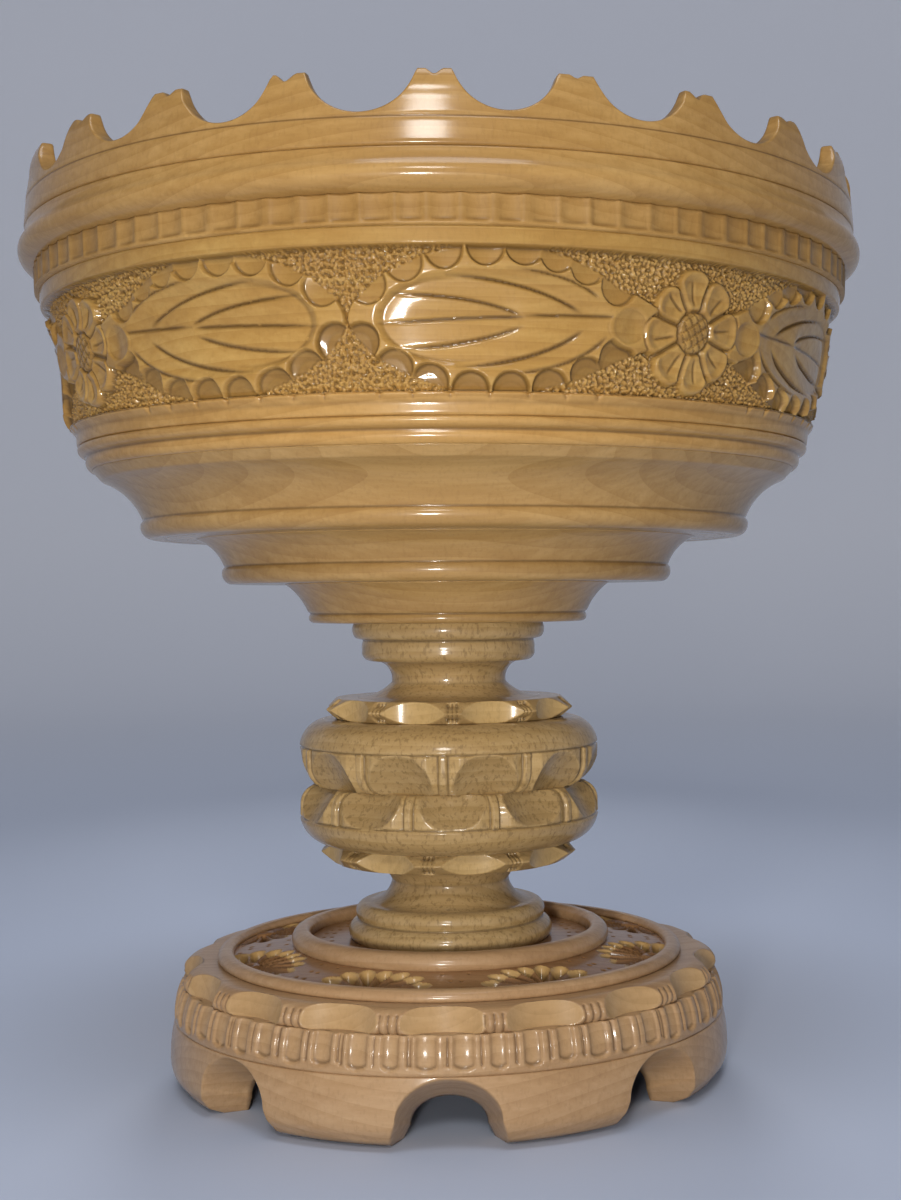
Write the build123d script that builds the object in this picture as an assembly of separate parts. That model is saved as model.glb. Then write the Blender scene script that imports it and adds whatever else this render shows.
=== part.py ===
"""Carved pedestal bowl: a footed wooden bowl with a scalloped rim, glued up from turned and carved rings.

Millimetres, +Z up. The origin is on the floor, on the turning axis. One of the foot's arches faces -Y.
Outlines are half sections: each point is (radius, height).
"""
from build123d import *
import math
import os
from collections import namedtuple

# Overall
HEIGHT = 241.0            # floor to the tips of the rim
BOWL_RADIUS = 112.4       # widest point of the rim moulding
FOOT_RADIUS = 75.5        # widest point of the foot

# Heights of the joints between the rings, from the rim down
CROWN_BASE = 224.3
MOULDING_BASE = 214.8
FLUTED_RING_BASE = 208.0
FRIEZE_BASE = 173.7
UPPER_BAND_BASE = 168.7
LOWER_BAND_BASE = 162.8
UPPER_STEP_BASE = 145.1
MIDDLE_STEP_BASE = 133.0
BOWL_BASE = 122.4
UPPER_SPOOL_BASE = 102.0
UPPER_DISC_BASE = 96.3
UPPER_KNOP_BASE = 78.6
LOWER_KNOP_BASE = 63.0
LOWER_DISC_BASE = 57.6
LOWER_SPOOL_BASE = 36.2
SKIRT_TOP = 27.0

# The inside of the bowl is half an ellipsoid with a small flat floor
BOWL_MOUTH_RADIUS = 106.0
BOWL_DEPTH = 103.0        # of the ellipsoid, measured from the rim
BOWL_FLOOR_RADIUS = 18.0

# Scalloped rim
SCALLOPS = 22
SCALLOP_RADIUS = 12.0
SCALLOP_FLOOR = 232.0
NICK_RADIUS = 2.4         # small nick that splits the tip of each point
NICK_DEPTH = 1.6

# Fluted rings
RIM_FLUTES = 96
RIM_FLUTE_RADIUS = 2.0
RIM_FLUTE_DEPTH = 0.9
SKIRT_FLUTES = 55
SKIRT_FLUTE_RADIUS = 2.2
SKIRT_FLUTE_DEPTH = 1.5
SKIRT_FLUTE_FLOOR = 20.0

# Carved frieze: leaf panels either side of each rosette, on a sunken ground
ROSETTES = 4
ROSETTE_TURN = 33.0       # first rosette, degrees round from -Y
ROSETTE_RADIUS = 13.0
PANEL_OFFSET = 23.0       # from a rosette to the leaf panel beside it, degrees
PANEL_HALF_WIDTH = 28.0
PANEL_HALF_HEIGHT = 14.4
GROUND_DEPTH = 2.0

# Scooped edges of the discs, the knops and the foot
DISC_SCOOP_RADIUS = 16.0
DISC_SCOOP_DEPTH = 2.8
UPPER_DISC_SCOOPS = 10
LOWER_DISC_SCOOPS = 9
FOOT_RING_SCOOPS = 18
FOOT_SCOOP_DEPTH = 3.2
KNOP_SCOOPS = 11
KNOP_SCOOP_RADIUS = 15.0
KNOP_SCOOP_TILT = 20.0

# Stem dowel, glued through the stem and into the bowl and the foot plate
DOWEL_RADIUS = 8.0
DOWEL_FOOT = 26.5
DOWEL_TOP = 130.0

# Foot
PLATE_RADIUS = 66.0
PLATE_TOP = 33.0
PLATE_BASE = 24.5
HOLLOW_RADIUS = 62.0
ARCHES = 8
ARCH_WIDTH = 27.5         # at the floor, on the outside of the skirt
ARCH_HEIGHT = 17.4
ARCH_TAPER = 16.0         # degrees: the arches narrow towards the inside
SHELLS = 8
SHELL_TURN = 24.0
SHELL_RADIUS = 13.5
SHELL_DEPTH = 1.6

Arc = namedtuple("Arc", "via to")


def turned(*steps):
    """Solid of revolution of a closed outline: each step is a point, or an Arc to a point."""
    edges = []
    here = steps[0]
    for step in steps[1:] + (steps[0],):
        if isinstance(step, Arc):
            edges.append(ThreePointArc(here, step.via, step.to))
            here = step.to
        elif step != here:
            edges.append(Line(here, step))
            here = step
    section = make_face(Plane.XZ * Wire(edges))
    return revolve(section, Axis.Z)


def bowl_hollow():
    """The space inside the bowl, open above the rim."""
    floor_angle = math.degrees(math.acos(BOWL_FLOOR_RADIUS / BOWL_MOUTH_RADIUS))
    curve = EllipticalCenterArc(
        (0, HEIGHT), BOWL_MOUTH_RADIUS, BOWL_DEPTH, start_angle=-floor_angle, arc_size=floor_angle
    )
    floor = (curve @ 0).Y
    sides = Polyline(
        (BOWL_MOUTH_RADIUS, HEIGHT),
        (BOWL_MOUTH_RADIUS, HEIGHT + 5),
        (0, HEIGHT + 5),
        (0, floor),
        (BOWL_FLOOR_RADIUS, floor),
    )
    return revolve(make_face(Plane.XZ * Wire([curve, *sides.edges()])), Axis.Z)


def dowel_hole():
    """Clearance for the dowel through a piece of the stem."""
    return Pos(0, 0, DOWEL_FOOT) * Cylinder(
        DOWEL_RADIUS, DOWEL_TOP - DOWEL_FOOT, align=(Align.CENTER, Align.CENTER, Align.MIN)
    )


def around(count, turn, cutter):
    """Copies of a cutter, evenly spaced round the axis; turn is measured from -Y towards +X."""
    return [Rot(0, 0, turn + 360 * i / count) * cutter for i in range(count)]


def radial_cylinder(radius, height):
    """Cylinder lying along -Y from the axis outwards, at a height."""
    lying = Rot(90, 0, 0) * Cylinder(radius, 2 * BOWL_RADIUS, align=(Align.CENTER, Align.CENTER, Align.MIN))
    return Pos(0, 0, height) * lying


def upright_gouge(radius, edge_radius, depth, low, high, tilt=0.0):
    """Cylinder standing outside an edge, so that it scoops to a depth there; tilt leans it over."""
    middle = (low + high) / 2
    cutter = Rot(tilt, 0, 0) * Cylinder(radius, high - low)
    return Pos(0, -(edge_radius - depth + radius), middle) * cutter


def crown_ring():
    """Scalloped rim: round notches between points, and a nick in each point."""
    ring = turned(
        (0, CROWN_BASE),
        (110.9, CROWN_BASE),
        Arc((110.5, 229.5), (110.0, 235.0)),
        Arc((109.6, 238.8), (108.4, HEIGHT)),
        (0, HEIGHT),
    )
    ring -= bowl_hollow()
    notch = radial_cylinder(SCALLOP_RADIUS, SCALLOP_FLOOR + SCALLOP_RADIUS)
    nick = radial_cylinder(NICK_RADIUS, HEIGHT - NICK_DEPTH + NICK_RADIUS)
    ring -= around(SCALLOPS, 180 / SCALLOPS, notch)
    ring -= around(SCALLOPS, 0, nick)
    return ring


def rim_moulding():
    """Overhanging ogee below the rim."""
    ring = turned(
        (0, MOULDING_BASE),
        (107.6, MOULDING_BASE),
        Arc((109.7, 215.2), (111.3, 216.2)),
        Arc((BOWL_RADIUS, 218.3), (111.6, 220.8)),
        Arc((110.9, 222.6), (110.9, CROWN_BASE)),
        (0, CROWN_BASE),
    )
    return ring - bowl_hollow()


def fluted_ring():
    """Narrow ring of upright flutes under the overhang."""
    ring = turned(
        (0, FLUTED_RING_BASE),
        (108.3, FLUTED_RING_BASE),
        (108.6, MOULDING_BASE),
        (0, MOULDING_BASE),
    )
    ring -= bowl_hollow()
    flute = upright_gouge(
        RIM_FLUTE_RADIUS, 108.4, RIM_FLUTE_DEPTH, FLUTED_RING_BASE + 0.8, MOULDING_BASE + 1
    )
    return ring - around(RIM_FLUTES, 0, flute)


def frieze_face(inset):
    """Turned blank of the frieze, inset from the face of the panels."""
    return turned(
        (0, FRIEZE_BASE),
        (100.2 - inset, FRIEZE_BASE),
        Arc((101.2 - inset, 175.6), (101.6 - inset, 178.0)),
        (106.4 - inset, 204.4),
        (0, 204.4),
    )


def frieze_ring():
    """Leaf panels and rosettes, standing up from a sunken ground, under a plain fillet."""
    fillet = turned((0, 204.4), (106.8, 204.4), (107.9, FLUTED_RING_BASE), (0, FLUTED_RING_BASE))
    middle = (FRIEZE_BASE + 204.4) / 2
    panel = Ellipse(PANEL_HALF_WIDTH - 5, PANEL_HALF_HEIGHT)
    panel_block = Pos(0, 0, middle) * Rot(90, 0, 0) * extrude(panel, BOWL_RADIUS)
    rosette_block = radial_cylinder(ROSETTE_RADIUS, middle)
    blocks = around(ROSETTES, ROSETTE_TURN, rosette_block)
    blocks += around(ROSETTES, ROSETTE_TURN - PANEL_OFFSET, panel_block)
    blocks += around(ROSETTES, ROSETTE_TURN + PANEL_OFFSET, panel_block)
    ring = frieze_face(GROUND_DEPTH) + fillet
    face = frieze_face(0)
    for block in blocks:
        ring += face & block
    return ring - bowl_hollow()


def upper_band_ring():
    """Chamfered band below the frieze."""
    ring = turned(
        (0, UPPER_BAND_BASE),
        (98.1, UPPER_BAND_BASE),
        (98.3, 171.6),
        (99.9, FRIEZE_BASE),
        (0, FRIEZE_BASE),
    )
    return ring - bowl_hollow()


def lower_band_ring():
    """Band with a rounded face and a groove above it."""
    ring = turned(
        (0, LOWER_BAND_BASE),
        (95.0, LOWER_BAND_BASE),
        Arc((95.9, 164.2), (95.9, 165.8)),
        (96.3, 166.3),
        Arc((97.8, 167.2), (98.0, UPPER_BAND_BASE)),
        (0, UPPER_BAND_BASE),
    )
    return ring - bowl_hollow()


def upper_step_ring():
    """Hollow cove above a small lip, with a flat underside."""
    ring = turned(
        (0, UPPER_STEP_BASE),
        (79.6, UPPER_STEP_BASE),
        Arc((81.6, 146.0), (82.2, 148.6)),
        (81.7, 150.1),
        Arc((85.4, 155.9), (92.2, 160.3)),
        (94.6, LOWER_BAND_BASE),
        (0, LOWER_BAND_BASE),
    )
    return ring - bowl_hollow()


def middle_step_ring():
    """Second cove and lip."""
    ring = turned(
        (0, MIDDLE_STEP_BASE),
        (59.0, MIDDLE_STEP_BASE),
        Arc((60.6, 134.2), (61.0, 136.6)),
        (60.6, 137.9),
        Arc((63.4, 142.3), (68.0, UPPER_STEP_BASE)),
        (0, UPPER_STEP_BASE),
    )
    return ring - bowl_hollow()


def bowl_base():
    """Third cove and lip: the boss that the stem fits to."""
    ring = turned(
        (0, BOWL_BASE),
        (36.9, BOWL_BASE),
        Arc((37.7, 123.2), (37.8, 124.4)),
        (38.2, 125.3),
        Arc((41.0, 129.9), (44.6, MIDDLE_STEP_BASE)),
        (0, MIDDLE_STEP_BASE),
    )
    return ring - dowel_hole()


def upper_spool():
    """Neck between the bowl and the knops, with two small rolls at its top."""
    spool = turned(
        (0, UPPER_SPOOL_BASE),
        (25.0, UPPER_SPOOL_BASE),
        Arc((19.9, 103.1), (15.7, 106.0)),
        Arc((16.9, 110.3), (20.8, 111.9)),
        Arc((23.4, 112.6), (23.8, 114.8)),
        Arc((23.7, 116.6), (23.2, 117.5)),
        (25.3, 117.9),
        Arc((26.6, 120.1), (26.0, BOWL_BASE)),
        (0, BOWL_BASE),
    )
    return spool - dowel_hole()


def scooped_disc(low, high, radius, count, turn, gouge_radius, depth):
    """Disc with a rounded edge that is scooped into teeth."""
    middle = (low + high) / 2
    disc = turned(
        (0, low),
        (radius - 1.6, low),
        Arc((radius, middle), (radius - 1.6, high)),
        (0, high),
    )
    gouge = upright_gouge(gouge_radius, radius, depth, low - 2, high + 2)
    return disc - around(count, turn, gouge)


def upper_toothed_disc():
    """Scooped disc on top of the knops."""
    disc = scooped_disc(
        UPPER_DISC_BASE, UPPER_SPOOL_BASE, 34.6, UPPER_DISC_SCOOPS, 19.6, DISC_SCOOP_RADIUS, DISC_SCOOP_DEPTH
    )
    return disc - dowel_hole()


def lower_toothed_disc():
    """Scooped disc under the knops."""
    disc = scooped_disc(
        LOWER_DISC_BASE, LOWER_KNOP_BASE, 35.4, LOWER_DISC_SCOOPS, 10.0, DISC_SCOOP_RADIUS, DISC_SCOOP_DEPTH
    )
    return disc - dowel_hole()


def knop_gouge(edge_height, lean):
    """Tilted gouge that cuts a scoop running out through one edge of a knop."""
    return upright_gouge(
        KNOP_SCOOP_RADIUS, 39.0, 2.0, edge_height - 12, edge_height + 12, lean * KNOP_SCOOP_TILT
    )


def upper_knop():
    """Rounded cushion with a fine groove; its scoops run out at the bottom."""
    knop = turned(
        (0, UPPER_KNOP_BASE),
        (36.2, UPPER_KNOP_BASE),
        Arc((39.4, 81.0), (40.8, 85.0)),
        (40.8, 88.7),
        (40.3, 89.1),
        (40.8, 89.5),
        Arc((38.6, 94.0), (34.4, UPPER_DISC_BASE)),
        (0, UPPER_DISC_BASE),
    )
    scoops = around(KNOP_SCOOPS, 13.7, knop_gouge(81.5, -1))
    return knop - scoops - dowel_hole()


def lower_knop():
    """Rounded cushion with a fine groove; its scoops run out at the top."""
    knop = turned(
        (0, LOWER_KNOP_BASE),
        (34.6, LOWER_KNOP_BASE),
        Arc((38.8, 65.6), (40.7, 69.6)),
        (40.2, 70.1),
        (40.8, 70.6),
        (40.8, 73.5),
        Arc((39.9, 76.6), (37.4, UPPER_KNOP_BASE)),
        (0, UPPER_KNOP_BASE),
    )
    scoops = around(KNOP_SCOOPS, 0.7, knop_gouge(76.3, 1))
    return knop - scoops - dowel_hole()


def lower_spool():
    """Neck between the knops and the foot, spreading to two rolls."""
    spool = turned(
        (0, LOWER_SPOOL_BASE),
        (26.8, LOWER_SPOOL_BASE),
        Arc((27.9, 38.8), (26.4, 41.4)),
        (25.4, 41.8),
        Arc((25.9, 44.0), (24.6, 45.8)),
        (23.4, 46.3),
        Arc((17.6, 48.6), (16.0, 52.2)),
        Arc((19.2, 56.0), (24.0, LOWER_DISC_BASE)),
        (0, LOWER_DISC_BASE),
    )
    return spool - dowel_hole()


def shell_scoop():
    """Shallow round hollow for one carved shell, on the sloping face of the foot plate."""
    return Pos(0, -SHELL_RADIUS - 43.5, PLATE_TOP + 14.0) * Sphere(16.0)


def foot_plate():
    """Top of the foot: a flat round the stem, then a gently sloping face with eight hollows for shells."""
    plate = turned(
        (0, PLATE_BASE),
        (HOLLOW_RADIUS, PLATE_BASE),
        (HOLLOW_RADIUS, SKIRT_TOP),
        (61.0, SKIRT_TOP),
        (61.0, PLATE_TOP),
        (43.0, 35.4),
        (38.0, 35.4),
        (38.0, LOWER_SPOOL_BASE),
        (0, LOWER_SPOOL_BASE),
    )
    return plate - around(SHELLS, SHELL_TURN, shell_scoop()) - dowel_hole()


def inner_moulding():
    """Half-round ring round the foot of the stem."""
    return turned(
        (38.0, 35.4),
        (43.0, 35.4),
        Arc((42.8, 38.6), (40.4, 39.8)),
        Arc((38.9, 39.6), (38.0, 38.0)),
    )


def outer_bead():
    """Raised bead round the outside of the shells."""
    return turned(
        (58.6, 33.32),
        (61.0, PLATE_TOP),
        (61.0, 32.2),
        (62.9, 32.2),
        Arc((62.6, 34.4), (60.6, 35.2)),
        Arc((59.0, 34.8), (58.6, 33.32)),
    )


def toothed_foot_ring():
    """Scooped ring that carries the foot plate on the skirt."""
    ring = turned(
        (61.0, SKIRT_TOP),
        (71.6, SKIRT_TOP),
        Arc((72.8, 28.4), (72.0, 30.6)),
        Arc((70.4, 32.0), (67.0, 32.6)),
        (63.2, 32.4),
        (61.0, 32.2),
    )
    gouge = upright_gouge(12.5, 72.0, FOOT_SCOOP_DEPTH, SKIRT_TOP - 3, 38.0, 14.0)
    return ring - around(FOOT_RING_SCOOPS, 18.0, gouge)


def arch_cutter():
    """Round-headed opening through the skirt, narrowing inwards; it stays open to the floor all the way."""
    half = ARCH_WIDTH / 2
    shoulder = ARCH_HEIGHT * 0.42
    outline = Wire(
        [
            Line((-half, -12), (half, -12)),
            Line((half, -12), (half, 0)),
            Line((half, 0), (half * 0.84, shoulder)),
            ThreePointArc((half * 0.84, shoulder), (0, ARCH_HEIGHT), (-half * 0.84, shoulder)),
            Line((-half * 0.84, shoulder), (-half, 0)),
            Line((-half, 0), (-half, -12)),
        ]
    )
    outside = Pos(0, -FOOT_RADIUS - 3, 0) * Rot(90, 0, 0) * make_face(outline)
    return extrude(outside, -26, taper=ARCH_TAPER)


def foot_skirt():
    """Skirt of the foot: a fluted band above eight round-headed arches that leave eight feet."""
    skirt = turned(
        (HOLLOW_RADIUS, 0),
        (68.0, 0),
        (72.4, 1.7),
        Arc((74.7, 3.6), (FOOT_RADIUS, 7.2)),
        Arc((75.2, 12.8), (74.5, 17.9)),
        (74.1, 18.3),
        (74.3, 18.8),
        Arc((74.0, 23.0), (72.8, SKIRT_TOP)),
        (HOLLOW_RADIUS, SKIRT_TOP),
    )
    skirt -= around(ARCHES, 0, arch_cutter())
    flute = upright_gouge(
        SKIRT_FLUTE_RADIUS, 73.6, SKIRT_FLUTE_DEPTH, SKIRT_FLUTE_FLOOR, SKIRT_TOP + 3, -6.0
    )
    return skirt - around(SKIRT_FLUTES, 2.0, flute)


def stem_dowel():
    """Round dowel that ties the stem, the bowl and the foot plate together."""
    return dowel_hole()


PIECES = {
    "crown_ring": crown_ring,
    "rim_moulding": rim_moulding,
    "fluted_ring": fluted_ring,
    "frieze_ring": frieze_ring,
    "upper_band_ring": upper_band_ring,
    "lower_band_ring": lower_band_ring,
    "upper_step_ring": upper_step_ring,
    "middle_step_ring": middle_step_ring,
    "bowl_base": bowl_base,
    "upper_spool": upper_spool,
    "upper_toothed_disc": upper_toothed_disc,
    "upper_knop": upper_knop,
    "lower_knop": lower_knop,
    "lower_toothed_disc": lower_toothed_disc,
    "lower_spool": lower_spool,
    "foot_plate": foot_plate,
    "inner_moulding": inner_moulding,
    "outer_bead": outer_bead,
    "toothed_foot_ring": toothed_foot_ring,
    "foot_skirt": foot_skirt,
    "stem_dowel": stem_dowel,
}

os.makedirs("parts", exist_ok=True)
for name, make in PIECES.items():
    export_step(make(), f"parts/{name}.step")
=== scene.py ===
"""Looks of the carved pedestal bowl: every ring remade as a carved, lacquered wood mesh around the CAD frame.

Lengths are millimetres until a mesh is made. Round the axis, angles are degrees from -Y towards +X.
"""
import math

import bpy
import numpy as np
from mathutils import Matrix, Vector


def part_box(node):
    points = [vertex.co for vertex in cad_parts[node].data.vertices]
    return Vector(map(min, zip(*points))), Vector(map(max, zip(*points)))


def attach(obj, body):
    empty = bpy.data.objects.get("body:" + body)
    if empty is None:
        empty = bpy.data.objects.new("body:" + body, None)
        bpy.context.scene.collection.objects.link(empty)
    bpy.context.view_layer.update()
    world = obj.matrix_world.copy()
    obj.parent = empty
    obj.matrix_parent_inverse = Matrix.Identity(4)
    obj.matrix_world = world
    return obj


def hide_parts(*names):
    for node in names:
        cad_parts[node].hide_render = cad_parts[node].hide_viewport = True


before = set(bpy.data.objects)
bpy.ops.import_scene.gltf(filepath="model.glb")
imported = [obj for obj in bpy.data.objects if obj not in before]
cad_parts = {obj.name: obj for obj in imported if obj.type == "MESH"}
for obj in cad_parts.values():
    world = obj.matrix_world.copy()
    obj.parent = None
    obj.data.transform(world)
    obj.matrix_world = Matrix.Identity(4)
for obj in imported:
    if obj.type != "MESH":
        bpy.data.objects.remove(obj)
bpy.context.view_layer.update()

MM = 0.001

# Carving counts and places, as in the CAD model
SCALLOPS = 22
SCALLOP_RADIUS = 12.0
SCALLOP_FLOOR = 232.0
RIM_FLUTES = 96
SKIRT_FLUTES = 55
QUARTERS = 4
ROSETTE_TURN = 33.0
UPPER_DISC_SCOOPS = 10
LOWER_DISC_SCOOPS = 9
FOOT_RING_SCOOPS = 18
KNOP_SCOOPS = 11
SHELLS = 8
SHELL_TURN = 24.0
ARCHES = 8

BOWL_MOUTH_RADIUS = 106.0
BOWL_DEPTH = 103.0
BOWL_FLOOR_RADIUS = 18.0
GROUND_DEPTH = 2.0  # of the frieze's sunken ground below the panels
CROWN_RADIUS = 110.0  # radii at which distances round a ring are measured
FRIEZE_RADIUS = 104.0
FEET_OUTSIDE = 75.0
FEET_INSIDE = 62.2
UNEVEN = 0.06  # how far a turned ring is out of round


# ---- frame

def span(node):
    """Base and top height of a CAD node."""
    low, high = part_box(node)
    return low[2] / MM, high[2] / MM


RIM_TOP = span("crown_ring")[1]


# ---- numbers

def smooth(x, low, high):
    """Smooth step from 0 at low to 1 at high."""
    t = np.clip((x - low) / (high - low), 0, 1)
    return t * t * (3 - 2 * t)


def bump_shape(x, width):
    """Bell of height 1 at x = 0."""
    return np.exp(-((x / width) ** 2))


def lattice(ix, iy, seed):
    """Repeatable random numbers, 0 to 1, for whole-number cells."""
    n = (ix * 374761393 + iy * 668265263 + seed * 1442695041) & 0xFFFFFFFF
    n = ((n ^ (n >> 13)) * 1274126177) & 0xFFFFFFFF
    return ((n ^ (n >> 16)) & 0xFFFF) / 65535.0


def cell_distance(u, v, size_u, size_v, seed):
    """Distance to the nearest of one jittered dot per cell, in cells."""
    x, y = u / size_u, v / size_v
    ix, iy = np.floor(x).astype(np.int64), np.floor(y).astype(np.int64)
    best = np.full(x.shape, 9.0)
    for dx in (-1, 0, 1):
        for dy in (-1, 0, 1):
            cx, cy = ix + dx, iy + dy
            px = cx + 0.05 + 0.9 * lattice(cx, cy, seed)
            py = cy + 0.05 + 0.9 * lattice(cx, cy, seed + 7)
            best = np.minimum(best, np.hypot(x - px, y - py))
    return best


def wave(angle, seed, strength):
    """Slow unevenness round a ring, from hand work."""
    rng = np.random.default_rng(seed)
    total = np.zeros_like(angle)
    for turns in (2, 3, 5, 8):
        total += rng.normal() / turns * np.sin(turns * np.radians(angle) + rng.uniform(0, 6.28))
    return strength * total


def jitter(count, seed, strength):
    """One small error for each repeat of a cut."""
    return np.random.default_rng(seed).uniform(-strength, strength, count)


def repeat(angle, count, turn):
    """Which repeat an angle is in, and how far it is from that repeat's centre, in degrees."""
    pitch = 360.0 / count
    index = np.round((angle - turn) / pitch).astype(int)
    return index % count, angle - turn - index * pitch


# ---- outlines

def arc(start, via, end, step):
    """Points along the arc through three points, without the first."""
    (ax, ay), (bx, by), (cx, cy) = start, via, end
    d = 2 * (ax * (by - cy) + bx * (cy - ay) + cx * (ay - by))
    sa, sb, sc = ax * ax + ay * ay, bx * bx + by * by, cx * cx + cy * cy
    ox = (sa * (by - cy) + sb * (cy - ay) + sc * (ay - by)) / d
    oy = (sa * (cx - bx) + sb * (ax - cx) + sc * (bx - ax)) / d
    radius = math.hypot(ax - ox, ay - oy)
    a0, a1, a2 = (math.atan2(y - oy, x - ox) for x, y in (start, via, end))
    turn = (a2 - a0) % (2 * math.pi)
    if (a1 - a0) % (2 * math.pi) > turn:
        turn -= 2 * math.pi
    count = max(3, int(abs(turn) * radius / step))
    angles = a0 + turn * np.arange(1, count + 1) / count
    return np.stack([ox + radius * np.cos(angles), oy + radius * np.sin(angles)], 1)


def outline(*steps, step=0.35, soft=0.25):
    """Sampled outline: a pair is a straight run to a point, a pair of pairs is an arc (via, to)."""
    points = [np.array([steps[0]], float)]
    for item in steps[1:]:
        here = points[-1][-1]
        if isinstance(item[0], tuple):
            points.append(arc(here, item[0], item[1], step))
        else:
            count = max(1, int(math.dist(here, item) / step))
            t = np.arange(1, count + 1)[:, None] / count
            points.append(here + (np.array(item, float) - here) * t)
    return soften(np.concatenate(points), soft / step)


def soften(points, sigma):
    """Rounds the corners of a sampled outline; its ends stay."""
    reach = max(1, int(3 * sigma))
    kernel = np.exp(-0.5 * (np.arange(-reach, reach + 1) / max(sigma, 0.01)) ** 2)
    kernel /= kernel.sum()
    before = 2 * points[0] - points[reach:0:-1]
    after = 2 * points[-1] - points[-2:-reach - 2:-1]
    padded = np.concatenate([before, points, after])
    return np.stack([np.convolve(padded[:, k], kernel, "valid") for k in (0, 1)], 1)


def inside_wall(low, high, rows=8):
    """The bowl's inside between two heights, from low to high, down to its flat floor."""
    floor = RIM_TOP - BOWL_DEPTH * math.sqrt(1 - (BOWL_FLOOR_RADIUS / BOWL_MOUTH_RADIUS) ** 2)
    bottom = max(low, floor)
    edge = 0.15  # rows this near each end keep the shading of the joint off the wall
    heights = np.concatenate([[bottom], np.linspace(bottom + edge, high - edge, rows), [high]])
    radii = BOWL_MOUTH_RADIUS * np.sqrt(1 - ((RIM_TOP - heights) / BOWL_DEPTH) ** 2)
    return np.stack([radii, heights], 1)


# ---- meshes

def place(r, z, angle):
    """Points in metres from radius, height and angle."""
    a = np.radians(angle)
    return np.stack([r * np.sin(a), -r * np.cos(a), z * np.ones_like(r * a)], -1) * MM


def new_object(name, verts, faces):
    """Smooth-shaded mesh object in the scene."""
    mesh = bpy.data.meshes.new(name)
    mesh.from_pydata(verts, [], faces)
    mesh.polygons.foreach_set("use_smooth", np.ones(len(mesh.polygons), bool))
    made = bpy.data.objects.new(name, mesh)
    bpy.context.scene.collection.objects.link(made)
    return made


def grid_mesh(name, points, around=True, caps=False, **marks):
    """Mesh of a grid of points (angle, section). The section is closed, and the angle too if around.

    Caps close the two ends of a piece that isn't. Marks are values stored at each point for its
    material: cut is above 0 where shade is painted into a cut, crease or hollow and below 0 where the
    colour is made paler, and punch is 1 on punched ground, where glints are painted.
    """
    columns, rows = points.shape[:2]
    i = np.arange(columns if around else columns - 1)[:, None]
    j = np.arange(rows)[None, :]
    i1, j1 = (i + 1) % columns, (j + 1) % rows
    faces = np.stack([i * rows + j, i * rows + j1, i1 * rows + j1, i1 * rows + j], -1).reshape(-1, 4)
    faces = faces.tolist()
    verts = points.reshape(-1, 3)
    if caps:
        ends = len(verts) + np.arange(2 * rows)
        verts = np.concatenate([verts, points[0], points[-1]])
        faces += [ends[:rows][::-1].tolist(), ends[rows:].tolist()]
    made = new_object(name, verts.tolist(), faces)
    for mark, values in marks.items():
        stored = np.zeros(len(verts), np.float32)
        stored[: columns * rows] = values.ravel()
        made.data.attributes.new(mark, "FLOAT", "POINT").data.foreach_set("value", stored)
    made.data.update()
    return made


def section_of(outer, inner):
    """Closed section: the outside from the top down, then the inside from the bottom up."""
    return np.concatenate([outer, inner])


def grid_of(section, columns):
    """Angle, radius and height grids of a turned section."""
    angle = np.arange(columns)[:, None] * 360.0 / columns
    ones = np.ones((columns, 1))
    return angle, ones * section[:, 0], ones * section[:, 1]


def turned(name, section, columns=360, seed=0):
    """A plain turned ring, a little out of round."""
    angle, r, z = grid_of(section, columns)
    r = r + wave(angle, seed, UNEVEN) * smooth(r, 4, 20)
    return grid_mesh(name, place(r, z, angle))


def finish_piece(piece, nodes, material):
    """Rides the root body, replaces its CAD nodes and takes its material."""
    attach(piece, "root")
    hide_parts(*nodes)
    piece.data.materials.append(material)


# ---- cuts

def scooped(r, z, angle, count, turn, gouge, edge, depth, lean=0.0, middle=0.0, seed=1, loose=0.35):
    """Radius after upright gouge cuts round an edge; lean moves the gouge outwards as height rises."""
    index, off = repeat(angle, count, turn)
    depth = depth * (1 + jitter(count, seed, 0.1)[index])
    off = np.radians(off + jitter(count, seed + 1, loose)[index])
    centre = edge - depth + gouge + lean * (z - middle)
    inside = gouge**2 - (centre * np.sin(off)) ** 2
    wall = centre * np.cos(off) - np.sqrt(np.maximum(inside, 0))
    return np.where(inside > 0, np.minimum(r, wall), r)


def between(z, low, high):
    """1 between two heights, fading to 0 round each."""
    return smooth(z, low - 0.4, low + 0.4) * (1 - smooth(z, high - 0.4, high + 0.4))


def vee(r, angle, z, centre, half, depth, low, high):
    """Thin upright V cuts at a list of angles, between two heights."""
    window = between(z, low, high)
    for c in centre:
        off = np.abs((angle - c + 180) % 360 - 180) * np.radians(1) * r
        r = r - depth * np.clip(1 - off / half, 0, 1) * window
    return r


def paired_ribs(r, z, angle, count, turn, gap, half, depth, low, high):
    """Three V cuts on each tooth between scoops, which leave a pair of small ribs."""
    teeth = turn + 180 / count + np.arange(count) * 360 / count
    return vee(r, angle, z, np.concatenate([teeth - gap, teeth, teeth + gap]), half, depth, low, high)


def flutes(angle, count, seed, rib):
    """Depth, 0 to 1, of round-bottomed flutes; rib is the share of the pitch left between them."""
    index, off = repeat(angle, count, 0.0)
    pitch = 360.0 / count
    off = off + jitter(count, seed, 0.07 * pitch)[index]
    half = pitch / 2 * (1 - rib) * (1 + jitter(count, seed + 1, 0.12)[index])
    return np.sqrt(np.clip(1 - (off / half) ** 2, 0, 1))


# ---- bowl rings

CROWN_TURN = -1.2  # degrees from the front to the middle of a point
CROWN_LINE = 230.5  # height of the scored line under the notches
CROWN_EDGE = 0.45  # how far the rounding of the top reaches down


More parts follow.
